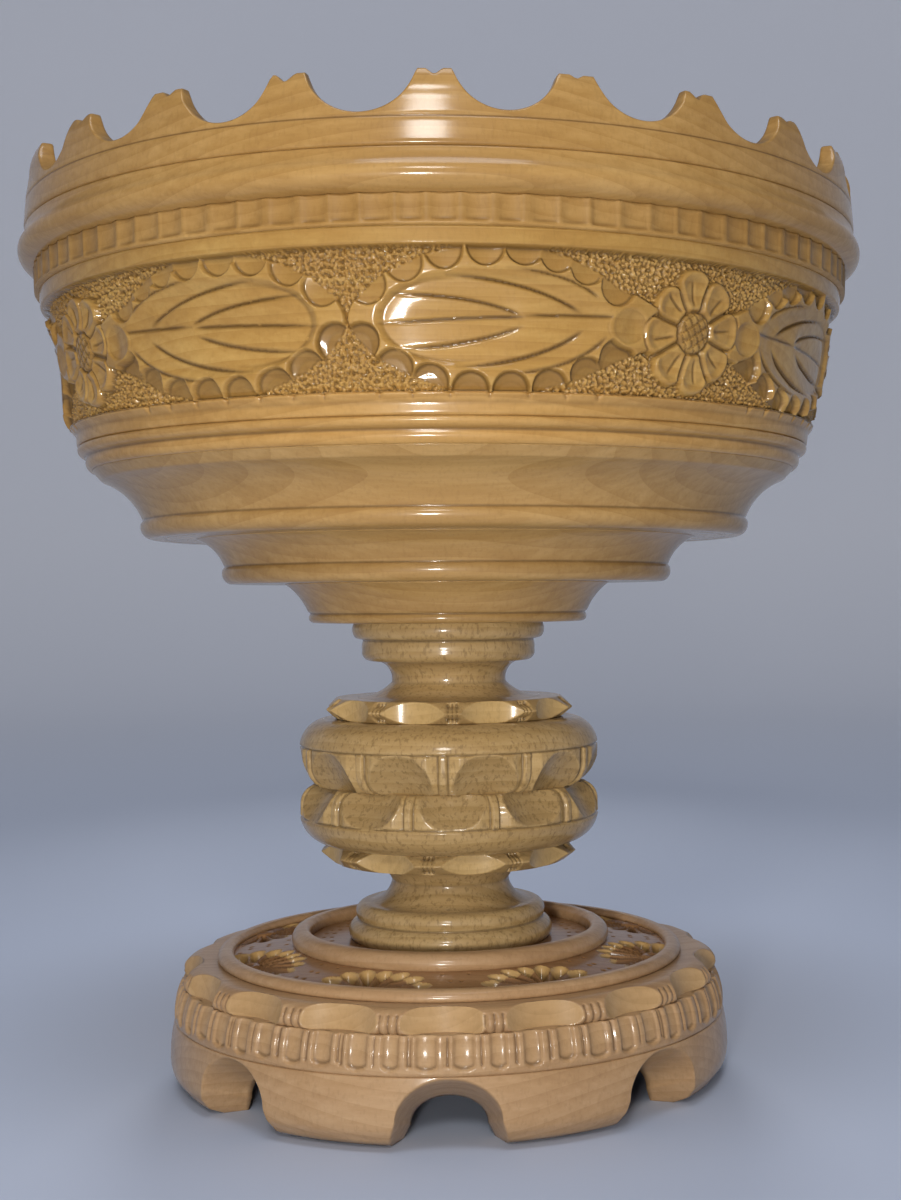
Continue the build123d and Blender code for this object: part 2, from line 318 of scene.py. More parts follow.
def crown_height(angle, top):
    """Top edge of the rim: round notches, and a nick in the tip of each point."""
    index, off = repeat(angle, SCALLOPS, CROWN_TURN)
    arc_off = np.radians(off + jitter(SCALLOPS, 3, 0.35)[index]) * CROWN_RADIUS
    tooth = top + 0.5 - 1.6 * (1 + jitter(SCALLOPS, 4, 0.35)[index]) * bump_shape(arc_off + 0.3, 1.8)
    shoulder = 5.0 * (1 - bump_shape(np.maximum(np.abs(arc_off) - 2.8, 0), 8.0))
    tooth = tooth + jitter(SCALLOPS, 5, 0.45)[index] - shoulder
    gap_index, gap_off = repeat(angle, SCALLOPS, 180 / SCALLOPS + CROWN_TURN)
    gap = np.radians(gap_off) * CROWN_RADIUS * (1 + jitter(SCALLOPS, 6, 0.05)[gap_index])
    floor = SCALLOP_FLOOR + jitter(SCALLOPS, 7, 0.5)[gap_index]
    notch = floor + SCALLOP_RADIUS - np.sqrt(np.maximum(SCALLOP_RADIUS**2 - gap**2, 0))
    notch = np.where(np.abs(gap) < SCALLOP_RADIUS, notch, 999.0)
    return np.minimum(-0.4 * np.logaddexp(-tooth / 0.4, -notch / 0.4), top - 0.02)


def crown_ring(material):
    """Scalloped rim with a scored line under the notches."""
    base, top = span("crown_ring")
    columns = SCALLOPS * 56
    angle = np.arange(columns) * 360.0 / columns
    height = crown_height(angle, top)[:, None]
    line = CROWN_LINE
    below = np.concatenate([np.linspace(line + 0.4, line - 0.6, 7), np.linspace(line - 1.4, base, 12)])
    z_above = line + 0.5 + (height - CROWN_EDGE - line - 0.5) * np.linspace(1, 0, 14)
    z_out = np.concatenate([z_above, below * np.ones((columns, 1))], 1)
    profile = outline((110.9, base), ((110.5, 229.5), (110.0, 235.0)), ((109.6, 238.8), (108.6, top)))
    r_out = np.interp(z_out, profile[:, 1], profile[:, 0])
    r_out = r_out - 0.3 * bump_shape(z_out - line, 0.3) - 0.35 * bump_shape(z_out - base, 0.4)
    z_in = base + (height - CROWN_EDGE - base) * np.concatenate([[0, 0.01], np.linspace(0.12, 1, 8)])
    r_in = BOWL_MOUTH_RADIUS * np.sqrt(1 - ((top - z_in) / BOWL_DEPTH) ** 2)
    share = np.array([0.07, 0.25, 0.5, 0.75, 0.93])
    r_top = r_in[:, -1:] + (r_out[:, :1] - r_in[:, -1:]) * share
    z_top = height - CROWN_EDGE + CROWN_EDGE * np.sqrt(np.clip(1 - (2 * share - 1) ** 6, 0, 1))
    r = np.concatenate([r_out, r_in, r_top], 1)
    z = np.concatenate([z_out, z_in, z_top], 1)
    piece = grid_mesh("crown_ring_carved", place(r, z, angle[:, None]))
    finish_piece(piece, ["crown_ring"], material)


def rim_moulding(material):
    """Overhanging ogee."""
    base, top = span("rim_moulding")
    outer = outline(
        (109.9, top), (110.7, top - 0.3), ((110.9, 222.6), (111.6, 220.8)),
        ((112.4, 218.3), (111.3, 216.2)), ((109.7, 215.2), (107.6, base)),
    )
    piece = turned("rim_moulding_turned", section_of(outer, inside_wall(base, top)), 480, seed=11)
    finish_piece(piece, ["rim_moulding"], material)


def fluted_ring(material):
    """Upright flutes under the overhang."""
    base, top = span("fluted_ring")
    outer = outline((108.6, top), (108.4, base + 0.35), (107.8, base), soft=0.15)
    section = section_of(outer, inside_wall(base, top, 3))
    angle, r, z = grid_of(section, RIM_FLUTES * 16)
    window = smooth(z, base + 0.5, base + 1.3) * smooth(r, 107.6, 108.0)
    channel = flutes(angle, RIM_FLUTES, 21, 0.10)
    r = r - 0.62 * channel**1.5 * window
    # painted shade over the fluted band under the overhang, half as strong in the middle of each flute
    piece = grid_mesh("fluted_ring_carved", place(r, z, angle), cut=0.30 * window * (1 - 0.5 * channel))
    finish_piece(piece, ["fluted_ring"], material)


# ---- frieze

LEAF_VEINS = (
    # quadratic curves in leaf units: from the base (-1) to the tip (1), up to +1; then depth
    ((-1.02, 0.10), (-0.62, 0.10), (-0.22, 0.06), 0.9),
    ((-0.22, 0.06), (0.20, 0.04), (0.97, -0.08), 1.0),
    ((-0.86, 0.44), (-0.66, 0.86), (-0.10, 0.95), 0.8),
    ((-0.72, 0.12), (-0.30, 0.72), (0.42, 0.80), 1.1),
    ((-0.22, 0.10), (0.12, 0.46), (0.84, 0.50), 1.1),
    ((-0.20, -0.10), (0.24, -0.50), (0.80, -0.54), 0.9),
    ((-0.70, -0.10), (-0.36, -0.74), (0.36, -0.86), 1.0),
    ((-0.92, -0.20), (-0.68, -0.88), (-0.02, -1.00), 0.8),
)
PANEL_MIDDLE = 48.3  # of an oval panel, along the frieze from the rosette
PANEL_HALF_LENGTH = 33.2
PANEL_HALF_WIDTH = 16.2
PANEL_POINT = 1.75  # 2 would be an ellipse; less is more pointed
# Places of the thumbnail cuts along the panel's lower and upper edges
THUMBS_BELOW = (78.7, 71.7, 63.5, 54.5, 45.4, 36.3, 27.6, 20.3)
THUMBS_ABOVE = (76.8, 69.0, 60.3, 51.7, 43.2, 35.2, 28.1, 21.2)


def curve_distance(x, y, start, bend, end):
    """Distance to a quadratic curve, the side it lies on, and how far along it is nearest."""
    pieces = 14
    t = np.linspace(0, 1, pieces + 1)[:, None]
    p = (1 - t) ** 2 * np.array(start) + 2 * t * (1 - t) * np.array(bend) + t * t * np.array(end)
    best = np.full(x.shape, 1e9)
    along = np.zeros(x.shape)
    side = np.zeros(x.shape)
    for k in range(pieces):
        a, d = p[k], p[k + 1] - p[k]
        s = np.clip(((x - a[0]) * d[0] + (y - a[1]) * d[1]) / (d @ d), 0, 1)
        gap = np.hypot(x - a[0] - s * d[0], y - a[1] - s * d[1])
        near = gap < best
        best = np.where(near, gap, best)
        along = np.where(near, (k + s) / pieces, along)
        side = np.where(near, np.sign(d[0] * (y - a[1]) - d[1] * (x - a[0])), side)
    return best, side, along


def leaf_relief(a, v, rng):
    """Hollowed leaf with veins, shade painted in them; a runs from the rosette towards the tip, in mm."""
    middle, half_long, half_wide = 48.2 + rng.uniform(-0.6, 0.6), 27.2, 11.4
    x, y = (a - middle) / half_long, (v + 0.3) / half_wide
    rho = (np.abs(x) ** 2.1 + np.abs(y) ** 2.1) ** (1 / 2.1)
    steep = 0.28 - 0.20 * smooth(x, 0.0, 0.8)
    hollow = -(0.75 + 0.45 * smooth(x, -0.8, 0.7)) * smooth((1 - rho) / steep, 0.0, 1.0)
    hollow = hollow - 0.75 * np.clip(1 - rho, 0, 1) * (1 - np.clip(np.abs(y), 0, 1))
    veins = np.zeros_like(a)
    vein_shade = np.zeros_like(a)
    for start, bend, end, depth in LEAF_VEINS:
        shift = rng.uniform(-0.03, 0.03, 2)
        curve = [((q[0] + shift[0]) * half_long, (q[1] + shift[1]) * half_wide) for q in (start, bend, end)]
        gap, side, along = curve_distance(x * half_long, y * half_wide, *curve)
        fade = smooth(along, -0.02, 0.15) * (1 - 0.75 * smooth(along, 0.75, 1.0))
        outer = np.where(side * np.sign(bend[1] - 0.02) > 0, 1.0, 0.0)
        ends = smooth(along, 0.0, 0.3) * (1 - smooth(along, 0.6, 1.0))
        broad = 0.65 * ends * outer * np.clip(1 - gap / 4.6, 0, 1) ** 1.4
        line = np.clip(1 - gap / 0.62, 0, 1)
        veins = np.maximum(veins, depth * (0.42 * fade * line + broad))
        # painted shade along each vein groove
        vein_shade = np.maximum(vein_shade, depth * fade * np.clip(1 - gap / 0.75, 0, 1))
    inside = smooth(1.06 - rho, 0.0, 0.06)
    return hollow - veins * inside, vein_shade * inside


def panel_outline(a):
    """Half height of the panel's superellipse at a place along it."""
    share = np.clip(np.abs(a - PANEL_MIDDLE) / PANEL_HALF_LENGTH, 0, 1)
    return PANEL_HALF_WIDTH * (1 - share**PANEL_POINT) ** (1 / PANEL_POINT)


def thumbnail(a, v, where, sign, rng):
    """One gouge cut into the panel's edge, deeper outwards: its depth, and 0 to 1 where it is."""
    px = where + rng.uniform(-0.4, 0.4)
    py = sign * min(float(panel_outline(px)), 15.3)
    nx = np.sign(px - PANEL_MIDDLE) * (abs(px - PANEL_MIDDLE) / PANEL_HALF_LENGTH) ** (PANEL_POINT - 1)
    nx /= PANEL_HALF_LENGTH
    ny = sign * (abs(py) / PANEL_HALF_WIDTH) ** (PANEL_POINT - 1) / PANEL_HALF_WIDTH
    scale = math.hypot(nx, ny)
    nx, ny = nx / scale, ny / scale
    deep = (a - px) * nx + (v - py) * ny
    wide = -(a - px) * ny + (v - py) * nx
    long, broad = rng.uniform(4.3, 5.0), rng.uniform(4.3, 4.7)
    inside = smooth(1 - (np.minimum(deep, 0) / long) ** 2 - (wide / broad) ** 2, 0.0, 0.22)
    dish = np.clip(1 - (wide / broad) ** 2, 0, 1)
    slope = 1.1 if sign < 0 else 0.5
    return inside * (0.9 + 0.8 * dish + slope * np.clip(1 + deep / long, 0, 1.3)), inside


def panel_relief(a, v, rng):
    """Oval panel with thumbnail cuts along its edge; returns height, a mask and painted shade for the cuts.
    """
    x, y = (a - PANEL_MIDDLE) / PANEL_HALF_LENGTH, v / PANEL_HALF_WIDTH
    rho = (np.abs(x) ** PANEL_POINT + np.abs(y) ** PANEL_POINT) ** (1 / PANEL_POINT)
    edge = (1 - rho) * PANEL_HALF_WIDTH * np.where(np.abs(y) > 0.5, 1.0, 1.4)
    wedge = 4.2 + 0.436 * (a - 10.8) - np.abs(v + 0.4)
    wedge = np.where((a > 7) & (a < 30), wedge, -9.0)
    mask = smooth(np.maximum(edge, wedge), -0.2, 0.3)
    height, cuts = leaf_relief(a, v, rng)
    for sign, places in ((-1, THUMBS_BELOW), (1, THUMBS_ABOVE)):
        for where in places:
            depth, inside = thumbnail(a, v, where, sign, rng)
            height = np.minimum(height, -depth)
            # painted shade in the thumbnails, stronger in the lower ones, which face down
            cuts = np.maximum(cuts, (0.42 - 0.20 * sign) * inside)
    return np.maximum(height, -GROUND_DEPTH - 0.3), mask, cuts


def bud_relief(a, v):
    """Small hollow bud between the leaf and the rosette."""
    outer = 1 - ((a - 14.0) / 9.0) ** 2 - ((v + 0.8) / 5.0) ** 2
    near = 1 - ((a - 17.6) / 4.4) ** 2 - ((v + 0.6) / 4.0) ** 2
    far = 1 - ((a - 9.6) / 3.5) ** 2 - ((v + 0.8) / 4.3) ** 2
    height = -1.2 * np.clip(near, 0, 1) ** 0.6 * (1 - 0.5 * smooth(a, 16, 21))
    height = height - 1.4 * np.clip(far, 0, 1) ** 0.6
    return height + 0.05, smooth(outer, -0.04, 0.06)


def rosette_relief(u, v, rng):
    """Eight dished and creased petals round a chiselled hub."""
    v = v + 0.7
    r, turn = np.hypot(u, v), np.degrees(np.arctan2(u, v)) + rng.uniform(-5, 9)
    index, off = repeat(turn, 8, 0.0)
    seed = int(rng.integers(1e6))
    reach = 13.6 + jitter(8, seed, 0.7)[index]
    q = off / 22.5
    outline_radius = reach - 2.6 * np.abs(q) ** 3.0
    mask = smooth(outline_radius - r, -0.15, 0.35)
    gap = (1 - np.abs(q)) * r * 0.393
    split = np.clip(1 - gap / 0.9, 0, 1)
    crease = np.clip(1 - np.abs(q - jitter(8, seed + 1, 0.3)[index]) * r * 0.393 / 0.55, 0, 1)
    crease = crease * smooth(r, 5.0, 7.0) * (1 - smooth(r, 10.0, 12.0))
    dish = (1 - q**2) * smooth(r, 4.6, 8.0) * (1 - smooth(r - outline_radius, -3.0, -0.4))
    height = 0.2 - 0.95 * dish - 0.35 * crease - 1.5 * split * smooth(r, 4, 6)
    height = height - 1.0 * smooth(r - outline_radius, -1.2, 0.3)
    height = height - 1.1 * bump_shape(r - 4.6, 0.6)
    marks = np.minimum(np.abs(np.sin(1.5 * u + 0.9 * v)), np.abs(np.sin(1.3 * v - 0.8 * u + 0.6)))
    hub = 0.2 - 0.02 * r**2 - 0.5 * (1 - smooth(marks, 0.0, 0.35))
    # painted shade in the petal creases, the splits between petals and the groove round the hub
    cuts = np.maximum(0.45 * crease, np.maximum(0.55 * split, 0.6 * bump_shape(r - 4.6, 0.5)))
    return np.where(r < 4.3, hub, height), np.maximum(mask, r < 4.6), cuts


def ground_relief(u, v, seed):
    """Ground matted with a small round punch: height about its level, and painted shade in its marks."""
    grains = 1 - smooth(cell_distance(u, v, 1.0, 1.0, seed), 0.12, 0.62)
    dents = 1 - smooth(cell_distance(u + 0.3, v, 1.9, 1.7, seed + 3), 0.10, 0.45)
    return 0.75 * grains - 0.50 * dents - 0.35, 0.30 * np.maximum(1 - grains - 0.3, dents)


def frieze_relief(u, v, seed):
    """Height, painted shade in the cuts, and punched ground over (mm from the rosette, mm above the middle).

    Height 0 is the panels' face.
    """
    rng = np.random.default_rng(seed)
    height, cuts = ground_relief(u, v, seed)
    height = height - GROUND_DEPTH
    punch = np.ones_like(u)

    def lay(here, mask, cut):
        """Puts a carved motif over the ground."""
        nonlocal height, cuts, punch
        height = height * (1 - mask) + here * mask
        cuts = cuts * (1 - mask) + cut * mask
        punch = punch * (1 - mask)

    for side in (-1, 1):
        lay(*panel_relief(side * u, v, rng))
        # a little painted shade in the bud's hollow
        lay(*bud_relief(side * u, v), 0.1)
    lay(*rosette_relief(u, v, rng))
    return height, cuts, punch


def frieze_quarter(number, material):
    """One quarter of the frieze, from the middle of a gap to the middle of the next."""
    base, top = span("frieze_ring")
    low, high = base, 204.4
    outer = outline(
        (107.3, top), (107.2, top - 0.3), (106.9, high), (106.35, high - 0.25), (101.6, 178.0),
        ((101.2, 175.6), (100.2, low)), step=0.27, soft=0.12,
    )
    columns = 600
    turn = ROSETTE_TURN + 90 * number
    angle = turn - 45 + 90 * np.arange(columns + 1)[:, None] / columns
    inner = inside_wall(base, top, 5)
    section = section_of(outer, inner)
    ones = np.ones((columns + 1, 1))
    r, z = ones * section[:, 0], ones * section[:, 1]
    u = np.radians(angle - turn) * FRIEZE_RADIUS * np.ones_like(r)
    v = z - (low + high) / 2
    outside = np.arange(len(section)) < len(outer)
    window = smooth(z, low - 0.1, low + 0.25) * (1 - smooth(z, high - 0.5, high - 0.2)) * outside
    height, cuts, punch = frieze_relief(u, v, 40 + number)
    r = r + height * window
    # painted shade in the carved cuts and punch marks; punch also places the painted glints
    marks = {"cut": cuts * window, "punch": punch * window}
    piece = grid_mesh(f"frieze_quarter_{number + 1}", place(r, z, angle), around=False, caps=True, **marks)
    finish_piece(piece, ["frieze_ring"], material)


# ---- lower bowl

def band_rings(material):
    """Chamfered band and rounded band below the frieze."""
    base, top = span("upper_band_ring")
    outer = outline((99.2, top), (99.8, top - 0.25), (98.35, 171.6), (98.1, base + 0.25), (97.4, base))
    angle, r, z = grid_of(section_of(outer, inside_wall(base, top)), 1800)
    cusps = [math.degrees((a + b) / 2 / FRIEZE_RADIUS) for a, b in zip(THUMBS_BELOW, THUMBS_BELOW[1:])]
    turns = [
        ROSETTE_TURN + 90 * k + side * cusp
        for k in range(QUARTERS) for cusp in cusps for side in (-1, 1)
    ]
    nick = 0.9 * smooth(z, 171.6, top) * smooth(r, 97.6, 98.2)
    r = vee(r, angle, z, turns, 0.9, nick, base, top + 1)
    upper = grid_mesh("upper_band_carved", place(r, z, angle))
    finish_piece(upper, ["upper_band_ring"], material)
    base, top = span("lower_band_ring")
    outer = outline(
        (97.5, top), (98.0, top - 0.3), ((97.8, 167.2), (96.3, 166.3)), (95.7, 165.9),
        ((95.9, 164.2), (94.9, base)),
    )
    lower = turned("lower_band_turned", section_of(outer, inside_wall(base, top)), 480, seed=32)
    finish_piece(lower, ["lower_band_ring"], material)


def step_rings(material):
    """Two coves over lips, and the boss over the stem."""
    base, top = span("upper_step_ring")
    outer = outline(
        (94.4, top), (92.2, 160.3), ((85.4, 155.9), (81.7, 150.1)), (81.4, 149.9),
        (82.1, 149.2), ((82.0, 147.0), (79.6, base)), (76.3, base + 0.02), (76.0, base + 0.3),
        (75.7, base + 0.02), (67.0, base),
    )
    ring = turned("upper_step_turned", section_of(outer, inside_wall(base, top)), 480, seed=33)
    finish_piece(ring, ["upper_step_ring"], material)
    base, top = span("middle_step_ring")
    floor = inside_wall(base, top, 12)
    floor = np.concatenate([[[0.0, base]], [[0.0, floor[0, 1]]], floor])
    outer = outline(
        (67.8, top), ((63.4, 142.3), (60.6, 137.9)), (60.3, 137.7), (60.9, 137.1),
        ((60.9, 134.7), (59.0, base)), (44.0, base),
    )
    ring = turned("middle_step_turned", section_of(outer, floor), 360, seed=34)
    finish_piece(ring, ["middle_step_ring"], material)
    base, top = span("bowl_base")
    outer = outline(
        (44.4, top), ((41.0, 129.9), (38.2, 125.3)), (37.5, 125.0), (37.8, 124.6),
        ((37.8, 123.0), (36.9, base)), (26.5, base),
    )
    ring = turned("bowl_base_turned", section_of(outer, core(base, top, 9.0)), 360, seed=35)
    finish_piece(ring, ["bowl_base"], material)


# ---- stem

def core(base, top, radius=8.2):
    """Hole down a stem piece, from the bottom up."""
    return np.array([[radius, base], [radius, top]])


def spools(material):
    """The two necks, with their small rolls."""
    base, top = span("upper_spool")
    outer = outline(
        (25.8, top), ((26.4, 120.1), (25.5, 118.1)), (23.4, 117.6), ((23.7, 116.6), (23.7, 114.8)),
        ((23.3, 112.8), (20.8, 111.9)), ((16.9, 110.3), (15.7, 106.0)), ((19.9, 103.1), (25.0, base)),
    )
    piece = turned("upper_spool_turned", section_of(outer, core(base, top)), 240, seed=41)
    finish_piece(piece, ["upper_spool"], material)
    base, top = span("lower_spool")
    outer = outline(
        (24.0, top), ((19.2, 56.0), (16.0, 52.2)), ((17.6, 48.6), (23.4, 46.3)), (24.4, 46.0),
        ((25.8, 44.0), (25.4, 42.0)), (25.2, 41.7), (26.2, 41.3), ((27.8, 38.8), (26.8, base)),
    )
    piece = turned("lower_spool_turned", section_of(outer, core(base, top)), 240, seed=42)
    finish_piece(piece, ["lower_spool"], material)


def toothed_disc(node, radius, count, turn, seed, material):
    """Disc with a bevelled edge, scooped into teeth that carry a pair of small ribs each."""
    base, top = span(node)
    middle = (base + top) / 2
    flat = radius - 6.5
    outer = outline(
        (flat, top), (radius - 3.7, top), (radius - 0.1, middle), (radius - 3.7, base), (flat, base)
    )
    section = section_of(outer, core(base, top))
    angle, r, z = grid_of(section, count * 90)
    plain = r
    r = scooped(r, z, angle, count, turn, gouge=15.0, edge=radius, depth=4.15, seed=seed)
    # the scoops are made paler
    paler_in_scoops = -0.5 * smooth(plain - r, 0.02, 0.25)
    edge = smooth(r, radius - 4, radius - 2)
    off = repeat(angle, count, turn + 180 / count)[1]
    tooth = 1 - smooth(np.abs(np.radians(off)) * radius, 1.5, 2.1)
    r = r - 1.3 * tooth * edge * smooth(np.abs(z - middle), 0.9, 1.6)
    r = paired_ribs(r, z, angle, count, turn, gap=1.9, half=0.5, depth=0.7 * edge, low=base - 1, high=top + 1)
    piece = grid_mesh(node + "_carved", place(r, z, angle), cut=paler_in_scoops)
    finish_piece(piece, [node], material)


def ribs(r, z, angle, count, turn, depth, low, high):
    """Narrow upright ribs between scoops, each standing at the foot of two sloping facets."""
    index, off = repeat(angle, count, turn + 180 / count)
    gap = np.abs(np.radians(off + jitter(count, 17, 0.5)[index])) * r
    facet = np.where(gap > 1.25, np.clip((4.2 - gap) / 2.95, 0, 1), np.clip((gap - 0.75) / 0.5, 0, 1))
    return r - depth * facet * between(z, low, high)


def knop(node, outer, turn, lean, scoop, middle, low, high, seed, material):
    """Cushion with a groove, tilted scoops, and a rib between two facets beside each scoop."""
    base, top = span(node)
    angle, r, z = grid_of(section_of(outer, core(base, top)), KNOP_SCOOPS * 90)
    plain = r
    r = scooped(r, z, angle, KNOP_SCOOPS, turn, 14.5, 40.8, scoop, lean, middle, seed=seed)
    deep = smooth(plain - r, 0.03, 0.4)
    rib_depth = 1.25 * smooth(plain, 33.0, 36.0)
    r = np.minimum(r, ribs(plain, z, angle, KNOP_SCOOPS, turn, rib_depth, low, high))
    r = r + wave(angle, seed, 0.05) * (plain > 20)
    # painted shade deepest in each scoop, over a paler colour in the whole scoop
    piece = grid_mesh(node + "_carved", place(r, z, angle), cut=0.42 * deep - 0.15 * (plain - r > 0.03))
    finish_piece(piece, [node], material)


def knops(material):
    """Upper and lower knop, mirror images with their scoops running into the gap between them."""
    base, top = span("upper_knop")
    outer = outline(
        (30.0, top), (34.4, top), ((38.6, 94.0), (40.75, 89.6)), (40.0, 89.1), (40.75, 88.6), (40.7, 85.0),
        ((39.4, 81.0), (36.2, base)), (30.0, base), soft=0.15,
    )
    knop(
        "upper_knop", outer, turn=13.7, lean=0.62, scoop=3.1, middle=84.6, low=base - 1.0, high=88.9,
        seed=51, material=material,
    )
    base, top = span("lower_knop")
    outer = outline(
        (30.0, top), (37.4, top), ((39.9, 76.6), (40.7, 73.5)), (40.75, 70.7), (40.0, 70.1), (40.75, 69.6),
        ((38.8, 65.6), (34.6, base)), (30.0, base), soft=0.15,
    )
    knop(
        "lower_knop", outer, turn=0.7, lean=-0.72, scoop=3.5, middle=74.3, low=70.3, high=top + 1.0,
        seed=52, material=material,
    )


# ---- foot

def shell_relief(u, v):
    """Fan of gouged petals round a small ring; u across, v towards the stem from the fan's hub."""
    r, turn = np.hypot(u, v), np.degrees(np.arctan2(u, v))
    petals = 9
    pitch = 186.0 / petals
    index = np.clip(np.round(turn / pitch), -(petals // 2), petals // 2)
    q = np.clip(np.abs(turn - index * pitch) / (pitch / 2), 0, 1.4)
    reach = 14.2 - 2.6 * q**2 + 2.4 * np.abs(np.sin(np.radians(turn)))
    share = r / reach
    floor = smooth(r, 2.6, 3.6) * (0.30 + 0.70 * share)
    wall = smooth(share, 0.86, 1.0)
    inside = (q < 1.0) & (share < 1.0)
    height = -4.2 * (1 - q**1.6) * floor * (1 - wall) * inside
    ring = 0.35 * bump_shape(r - 2.0, 0.5) - 0.8 * bump_shape(r, 0.9)
    # painted shade on each petal's floor, stronger outwards and along its middle; the steep end walls are
    # made paler
    shade = np.where(wall > 0.02, -0.9, 0.30 * floor * (1 - 0.5 * q))
    return np.where(r < 2.8, ring, height), shade * inside * (r > 2.8)


def punched_dots(r, z, angle, off, plate_top):
    """Depth, 0 to 1, of the dots beside each shell and of two rings of dots round the stem."""
    dots = np.zeros_like(r)
    for radius, spread in ((44.6, 18.6), (49.6, 21.2), (54.4, 21.0), (57.2, 17.6)):
        for side in (-1, 1):
            gap = np.hypot(r - radius, r * np.radians(off - side * spread))
            dots = np.maximum(dots, np.clip(1 - (gap / 0.6) ** 2, 0, 1))
    for radius, count in ((34.8, 44), (32.6, 40)):
        gap = np.hypot(r - radius, r * np.radians(repeat(angle, count, 0)[1]))
        dots = np.maximum(dots, np.clip(1 - (gap / 0.6) ** 2, 0, 1) * (z > plate_top))
    return dots * (z > plate_top - 0.2)


def foot_plate(material):
    """Top of the foot with its eight chip-carved shells and punched dots."""
    base, top = span("foot_plate")
    skirt_top = span("foot_skirt")[1]
    plate_top = 33.0
    outer = outline(
        (30.0, top), (37.9, top), (43.0, 35.4), (58.8, 33.3), (61.0, plate_top), (61.0, skirt_top),
        (61.9, skirt_top - 0.4), (61.9, base), step=0.32, soft=0.1,
    )
    section = section_of(outer, core(base, top))
    angle, r, z = grid_of(section, 1240)
    index, off = repeat(angle, SHELLS, SHELL_TURN)
    off = off + jitter(SHELLS, 61, 0.5)[index]
    hub = 57.3
    u, v = r * np.sin(np.radians(off)), hub - r * np.cos(np.radians(off))
    height, cuts = shell_relief(u, v)
    face = (z > plate_top - 0.2) & (r > 42.5) & (r < 60.9)
    z = z + np.where(face, height, 0) - 0.5 * punched_dots(r, z, angle, off, plate_top)
    # painted shade in the shells, with paler end walls
    piece = grid_mesh("foot_plate_carved", place(r, z, angle), cut=np.where(face, cuts, 0))
    finish_piece(piece, ["foot_plate"], material)


def foot_mouldings(material):
    """Half-round ring round the stem, and the bead outside the shells."""
    outer = outline(
        (38.2, 38.0), ((38.9, 39.5), (40.4, 39.75)), ((42.7, 38.6), (43.0, 35.6)), (42.6, 35.3), (38.2, 35.3)
    )
    piece = turned("inner_moulding_turned", outer, 300, seed=62)
    finish_piece(piece, ["inner_moulding"], material)
    outer = outline(
        (58.7, 33.4), ((59.1, 34.8), (60.6, 35.15)), ((62.5, 34.4), (62.9, 32.6)), (62.4, 32.2), (61.2, 32.2)
    )
    piece = turned("outer_bead_turned", outer, 360, seed=63)
    finish_piece(piece, ["outer_bead"], material)


def toothed_foot_ring(material):
    """Scooped ring above the skirt."""
    base = span("toothed_foot_ring")[0]
    outer = outline(
        (61.3, 32.1), (63.2, 32.4), (67.0, 32.55), ((70.4, 31.9), (72.0, 30.6)), ((72.7, 28.6), (71.6, base)),
        (61.3, base),
    )
    angle, r, z = grid_of(outer, FOOT_RING_SCOOPS * 72)
    plain = r
    turn = -2.0
    r = scooped(
        r, z, angle, FOOT_RING_SCOOPS, turn, gouge=15.5, edge=72.6, depth=4.5, lean=-0.35, middle=30.0,
        seed=64, loose=0.5,
    )
    # the scoops are made paler
    paler_in_scoops = -0.35 * smooth(plain - r, 0.02, 0.3)
    depth = 0.8 * smooth(r, 68.0, 70.5)
    r = paired_ribs(r, z, angle, FOOT_RING_SCOOPS, turn, 1.7, 0.65, depth, base - 1.0, 31.4)
    piece = grid_mesh("toothed_foot_ring_carved", place(r, z, angle), cut=paler_in_scoops)
    finish_piece(piece, ["toothed_foot_ring"], material)


SKIRT_LINE = 17.7  # height of the scored line between the flutes and the feet


def skirt_band(material):
    """Fluted upper band of the skirt."""
    top = span("foot_skirt")[1]
    outer = outline(
        (69.0, top), (72.6, top), ((74.0, 23.0), (74.3, SKIRT_LINE + 0.5)), (73.9, SKIRT_LINE + 0.05),
        (69.0, SKIRT_LINE + 0.05), soft=0.15,
    )
    section = section_of(outer, core(SKIRT_LINE + 0.05, top, 62.3))
    angle, r, z = grid_of(section, SKIRT_FLUTES * 26)
    index, off = repeat(angle, SKIRT_FLUTES, 2.0)
    pitch = 360.0 / SKIRT_FLUTES
    off = off + jitter(SKIRT_FLUTES, 71, 0.35)[index]
    half = pitch * 0.29 * (1 + jitter(SKIRT_FLUTES, 72, 0.14)[index])
    channel = np.sqrt(np.clip(1 - (off / half) ** 2, 0, 1))
    stop = 18.9 + jitter(SKIRT_FLUTES, 73, 0.3)[index] + 0.9 * np.minimum((off / half) ** 2, 1)
    window = smooth(z, stop, stop + 0.8) * smooth(r, 71.0, 72.0)
    rib = np.abs(np.abs(off - jitter(SKIRT_FLUTES, 74, 0.3)[index]) - pitch / 2) * np.radians(1) * 73
    r = r - (1.15 * channel**0.8 + 0.9 * np.clip(1 - rib / 0.7, 0, 1)) * window
    # the flutes are made slightly paler
    piece = grid_mesh("skirt_band_carved", place(r, z, angle), cut=-0.12 * channel * window)
    finish_piece(piece, ["foot_skirt"], material)


def arch_outline(half, height, shoulder, count):
    """Half outline of an arch from the floor to its crown: distances from its centre line, and heights."""
    low = np.linspace(0, shoulder, count)
    side = np.stack([half - (half * 0.16) * low / shoulder, low], 1)
    turn = np.linspace(0, math.pi / 2, 2 * count)[1:]
    head = np.stack([half * 0.84 * np.cos(turn), shoulder + (height - shoulder) * np.sin(turn)], 1)
    return np.concatenate([side, head])


